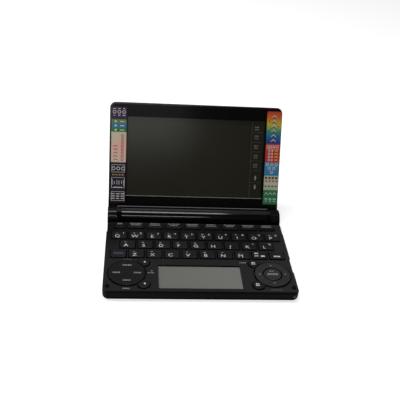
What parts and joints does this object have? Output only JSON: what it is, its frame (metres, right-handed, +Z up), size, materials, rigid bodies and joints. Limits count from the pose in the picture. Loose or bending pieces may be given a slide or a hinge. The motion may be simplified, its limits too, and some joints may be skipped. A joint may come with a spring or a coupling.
{
  "type": "electronic dictionary",
  "caption": "Black clamshell electronic dictionary with keyboard, round pads, touch panel and tilting screen lid.",
  "frame": {"origin": "on the desk, under the middle of the open unit's outline", "axes": "+X to the user's right along the hinge, +Y from the user's edge to the back, +Z up"},
  "size_m": [0.148, 0.1444, 0.0966],
  "materials": {
    "case": "polished black, fine scratches",
    "deck": "fine satin grain",
    "key": "satin key caps with light legends",
    "key_blue": "satin dark blue key cap",
    "pad": "satin rocker pad",
    "pivot": "plain moulding, hidden",
    "lid_shell": "polished black",
    "bezel": "high gloss black",
    "screen": "dark unlit display behind clear touch film",
    "sub_panel": "light grey unlit touch panel",
    "silicone": "plain silicone sheet",
    "board": "green lacquered board",
    "cell": "plain metal sleeve",
    "steel": "turned steel",
    "rubber": "matt rubber",
    "stylus": "satin black"
  },
  "bodies": {
    "base": {"base_bottom_cover": "case", "base_top_cover": "deck", "key_mat": "silicone", "main_board": "board", "sub_display": "sub_panel", "batteries": "cell", "hinge_pins": "steel", "rubber_feet": "rubber"},
    "lid": {"lid_back_cover": "lid_shell", "lid_bezel": "bezel", "main_display": "screen"},
    "battery_cover": {"battery_cover": "case"},
    "stylus": {"stylus": "stylus"},
    "left_pad_gimbal": {"left_pad_gimbal": "pivot"},
    "left_pad": {"left_pad": "pad"},
    "cursor_gimbal": {"cursor_gimbal": "pivot"},
    "cursor_ring": {"cursor_ring": "pad"},
    "key_enter": {"key_enter": "key"},
    "key_left_lower": {"key_left_lower": "key"},
    "key_left_upper": {"key_left_upper": "key"},
    "key_right_lower": {"key_right_lower": "key"},
    "key_right_upper": {"key_right_upper": "key"},
    "key_power": {"key_power": "key"},
    "key_menu_1": {"key_menu_1": "key"},
    "key_menu_2": {"key_menu_2": "key"},
    "key_menu_3": {"key_menu_3": "key"},
    "key_menu_4": {"key_menu_4": "key"},
    "key_menu_5": {"key_menu_5": "key"},
    "key_menu_6": {"key_menu_6": "key"},
    "key_menu_7": {"key_menu_7": "key"},
    "key_menu_8": {"key_menu_8": "key"},
    "key_shift": {"key_shift": "key_blue"},
    "key_z": {"key_z": "key"},
    "key_x": {"key_x": "key"},
    "key_c": {"key_c": "key"},
    "key_v": {"key_v": "key"},
    "key_b": {"key_b": "key"},
    "key_n": {"key_n": "key"},
    "key_m": {"key_m": "key"},
    "key_dash": {"key_dash": "key"},
    "key_back": {"key_back": "key"},
    "key_a": {"key_a": "key"},
    "key_s": {"key_s": "key"},
    "key_d": {"key_d": "key"},
    "key_f": {"key_f": "key"},
    "key_g": {"key_g": "key"},
    "key_h": {"key_h": "key"},
    "key_j": {"key_j": "key"},
    "key_k": {"key_k": "key"},
    "key_l": {"key_l": "key"},
    "key_q": {"key_q": "key"},
    "key_w": {"key_w": "key"},
    "key_e": {"key_e": "key"},
    "key_r": {"key_r": "key"},
    "key_t": {"key_t": "key"},
    "key_y": {"key_y": "key"},
    "key_u": {"key_u": "key"},
    "key_i": {"key_i": "key"},
    "key_o": {"key_o": "key"},
    "key_p": {"key_p": "key"}
  },
  "joints": [
    {"name": "lid_hinge", "type": "hinge", "parent": "base", "child": "lid", "pos_m": [0, 0.02503, 0.00949], "axis": [-1, 0, 0], "range_deg": [-116, 24]},
    {"name": "battery_cover_slide", "type": "slide", "parent": "base", "child": "battery_cover", "axis": [0, 0.9991, 0.0414], "range_m": [0, 0.016]},
    {"name": "stylus_slide", "type": "slide", "parent": "base", "child": "stylus", "axis": [0, -0.9991, -0.0414], "range_m": [0, 0.06]},
    {"name": "left_pad_gimbal_tilt", "type": "hinge", "parent": "base", "child": "left_pad_gimbal", "pos_m": [-0.0562, -0.05112, 0.00673], "axis": [1, 0, 0], "range_deg": [-1.2, 1.2], "stiffness_Nm_per_rad": 0.3},
    {"name": "left_pad_tilt", "type": "hinge", "parent": "left_pad_gimbal", "child": "left_pad", "pos_m": [-0.0562, -0.0512, 0.00863], "axis": [0, 0.9991, 0.0414], "range_deg": [-1.2, 1.2], "stiffness_Nm_per_rad": 0.3},
    {"name": "cursor_gimbal_tilt", "type": "hinge", "parent": "base", "child": "cursor_gimbal", "pos_m": [0.0562, -0.05112, 0.00673], "axis": [1, 0, 0], "range_deg": [-1.2, 1.2], "stiffness_Nm_per_rad": 0.3},
    {"name": "cursor_ring_tilt", "type": "hinge", "parent": "cursor_gimbal", "child": "cursor_ring", "pos_m": [0.0562, -0.0512, 0.00863], "axis": [0, 0.9991, 0.0414], "range_deg": [-1.2, 1.2], "stiffness_Nm_per_rad": 0.3},
    {"name": "key_enter_press", "type": "slide", "parent": "base", "child": "key_enter", "axis": [0, 0.0414, -0.9991], "range_m": [0, 0.0005], "stiffness_N_per_m": 1000},
    {"name": "key_left_lower_press", "type": "slide", "parent": "base", "child": "key_left_lower", "axis": [0, 0.0414, -0.9991], "range_m": [0, 0.0005], "stiffness_N_per_m": 1000},
    {"name": "key_left_upper_press", "type": "slide", "parent": "base", "child": "key_left_upper", "axis": [0, 0.0414, -0.9991], "range_m": [0, 0.0005], "stiffness_N_per_m": 1000},
    {"name": "key_right_lower_press", "type": "slide", "parent": "base", "child": "key_right_lower", "axis": [0, 0.0414, -0.9991], "range_m": [0, 0.0005], "stiffness_N_per_m": 1000},
    {"name": "key_right_upper_press", "type": "slide", "parent": "base", "child": "key_right_upper", "axis": [0, 0.0414, -0.9991], "range_m": [0, 0.0005], "stiffness_N_per_m": 1000},
    {"name": "key_power_press", "type": "slide", "parent": "base", "child": "key_power", "axis": [0, 0.0414, -0.9991], "range_m": [0, 0.0005], "stiffness_N_per_m": 1000},
    {"name": "key_menu_1_press", "type": "slide", "parent": "base", "child": "key_menu_1", "axis": [0, 0.0414, -0.9991], "range_m": [0, 0.0005], "stiffness_N_per_m": 1000},
    {"name": "key_menu_2_press", "type": "slide", "parent": "base", "child": "key_menu_2", "axis": [0, 0.0414, -0.9991], "range_m": [0, 0.0005], "stiffness_N_per_m": 1000},
    {"name": "key_menu_3_press", "type": "slide", "parent": "base", "child": "key_menu_3", "axis": [0, 0.0414, -0.9991], "range_m": [0, 0.0005], "stiffness_N_per_m": 1000},
    {"name": "key_menu_4_press", "type": "slide", "parent": "base", "child": "key_menu_4", "axis": [0, 0.0414, -0.9991], "range_m": [0, 0.0005], "stiffness_N_per_m": 1000},
    {"name": "key_menu_5_press", "type": "slide", "parent": "base", "child": "key_menu_5", "axis": [0, 0.0414, -0.9991], "range_m": [0, 0.0005], "stiffness_N_per_m": 1000},
    {"name": "key_menu_6_press", "type": "slide", "parent": "base", "child": "key_menu_6", "axis": [0, 0.0414, -0.9991], "range_m": [0, 0.0005], "stiffness_N_per_m": 1000},
    {"name": "key_menu_7_press", "type": "slide", "parent": "base", "child": "key_menu_7", "axis": [0, 0.0414, -0.9991], "range_m": [0, 0.0005], "stiffness_N_per_m": 1000},
    {"name": "key_menu_8_press", "type": "slide", "parent": "base", "child": "key_menu_8", "axis": [0, 0.0414, -0.9991], "range_m": [0, 0.0005], "stiffness_N_per_m": 1000},
    {"name": "key_shift_press", "type": "slide", "parent": "base", "child": "key_shift", "axis": [0, 0.0414, -0.9991], "range_m": [0, 0.0005], "stiffness_N_per_m": 1000},
    {"name": "key_z_press", "type": "slide", "parent": "base", "child": "key_z", "axis": [0, 0.0414, -0.9991], "range_m": [0, 0.0005], "stiffness_N_per_m": 1000},
    {"name": "key_x_press", "type": "slide", "parent": "base", "child": "key_x", "axis": [0, 0.0414, -0.9991], "range_m": [0, 0.0005], "stiffness_N_per_m": 1000},
    {"name": "key_c_press", "type": "slide", "parent": "base", "child": "key_c", "axis": [0, 0.0414, -0.9991], "range_m": [0, 0.0005], "stiffness_N_per_m": 1000},
    {"name": "key_v_press", "type": "slide", "parent": "base", "child": "key_v", "axis": [0, 0.0414, -0.9991], "range_m": [0, 0.0005], "stiffness_N_per_m": 1000},
    {"name": "key_b_press", "type": "slide", "parent": "base", "child": "key_b", "axis": [0, 0.0414, -0.9991], "range_m": [0, 0.0005], "stiffness_N_per_m": 1000},
    {"name": "key_n_press", "type": "slide", "parent": "base", "child": "key_n", "axis": [0, 0.0414, -0.9991], "range_m": [0, 0.0005], "stiffness_N_per_m": 1000},
    {"name": "key_m_press", "type": "slide", "parent": "base", "child": "key_m", "axis": [0, 0.0414, -0.9991], "range_m": [0, 0.0005], "stiffness_N_per_m": 1000},
    {"name": "key_dash_press", "type": "slide", "parent": "base", "child": "key_dash", "axis": [0, 0.0414, -0.9991], "range_m": [0, 0.0005], "stiffness_N_per_m": 1000},
    {"name": "key_back_press", "type": "slide", "parent": "base", "child": "key_back", "axis": [0, 0.0414, -0.9991], "range_m": [0, 0.0005], "stiffness_N_per_m": 1000},
    {"name": "key_a_press", "type": "slide", "parent": "base", "child": "key_a", "axis": [0, 0.0414, -0.9991], "range_m": [0, 0.0005], "stiffness_N_per_m": 1000},
    {"name": "key_s_press", "type": "slide", "parent": "base", "child": "key_s", "axis": [0, 0.0414, -0.9991], "range_m": [0, 0.0005], "stiffness_N_per_m": 1000},
    {"name": "key_d_press", "type": "slide", "parent": "base", "child": "key_d", "axis": [0, 0.0414, -0.9991], "range_m": [0, 0.0005], "stiffness_N_per_m": 1000},
    {"name": "key_f_press", "type": "slide", "parent": "base", "child": "key_f", "axis": [0, 0.0414, -0.9991], "range_m": [0, 0.0005], "stiffness_N_per_m": 1000},
    {"name": "key_g_press", "type": "slide", "parent": "base", "child": "key_g", "axis": [0, 0.0414, -0.9991], "range_m": [0, 0.0005], "stiffness_N_per_m": 1000},
    {"name": "key_h_press", "type": "slide", "parent": "base", "child": "key_h", "axis": [0, 0.0414, -0.9991], "range_m": [0, 0.0005], "stiffness_N_per_m": 1000},
    {"name": "key_j_press", "type": "slide", "parent": "base", "child": "key_j", "axis": [0, 0.0414, -0.9991], "range_m": [0, 0.0005], "stiffness_N_per_m": 1000},
    {"name": "key_k_press", "type": "slide", "parent": "base", "child": "key_k", "axis": [0, 0.0414, -0.9991], "range_m": [0, 0.0005], "stiffness_N_per_m": 1000},
    {"name": "key_l_press", "type": "slide", "parent": "base", "child": "key_l", "axis": [0, 0.0414, -0.9991], "range_m": [0, 0.0005], "stiffness_N_per_m": 1000},
    {"name": "key_q_press", "type": "slide", "parent": "base", "child": "key_q", "axis": [0, 0.0414, -0.9991], "range_m": [0, 0.0005], "stiffness_N_per_m": 1000},
    {"name": "key_w_press", "type": "slide", "parent": "base", "child": "key_w", "axis": [0, 0.0414, -0.9991], "range_m": [0, 0.0005], "stiffness_N_per_m": 1000},
    {"name": "key_e_press", "type": "slide", "parent": "base", "child": "key_e", "axis": [0, 0.0414, -0.9991], "range_m": [0, 0.0005], "stiffness_N_per_m": 1000},
    {"name": "key_r_press", "type": "slide", "parent": "base", "child": "key_r", "axis": [0, 0.0414, -0.9991], "range_m": [0, 0.0005], "stiffness_N_per_m": 1000},
    {"name": "key_t_press", "type": "slide", "parent": "base", "child": "key_t", "axis": [0, 0.0414, -0.9991], "range_m": [0, 0.0005], "stiffness_N_per_m": 1000},
    {"name": "key_y_press", "type": "slide", "parent": "base", "child": "key_y", "axis": [0, 0.0414, -0.9991], "range_m": [0, 0.0005], "stiffness_N_per_m": 1000},
    {"name": "key_u_press", "type": "slide", "parent": "base", "child": "key_u", "axis": [0, 0.0414, -0.9991], "range_m": [0, 0.0005], "stiffness_N_per_m": 1000},
    {"name": "key_i_press", "type": "slide", "parent": "base", "child": "key_i", "axis": [0, 0.0414, -0.9991], "range_m": [0, 0.0005], "stiffness_N_per_m": 1000},
    {"name": "key_o_press", "type": "slide", "parent": "base", "child": "key_o", "axis": [0, 0.0414, -0.9991], "range_m": [0, 0.0005], "stiffness_N_per_m": 1000},
    {"name": "key_p_press", "type": "slide", "parent": "base", "child": "key_p", "axis": [0, 0.0414, -0.9991], "range_m": [0, 0.0005], "stiffness_N_per_m": 1000}
  ]
}
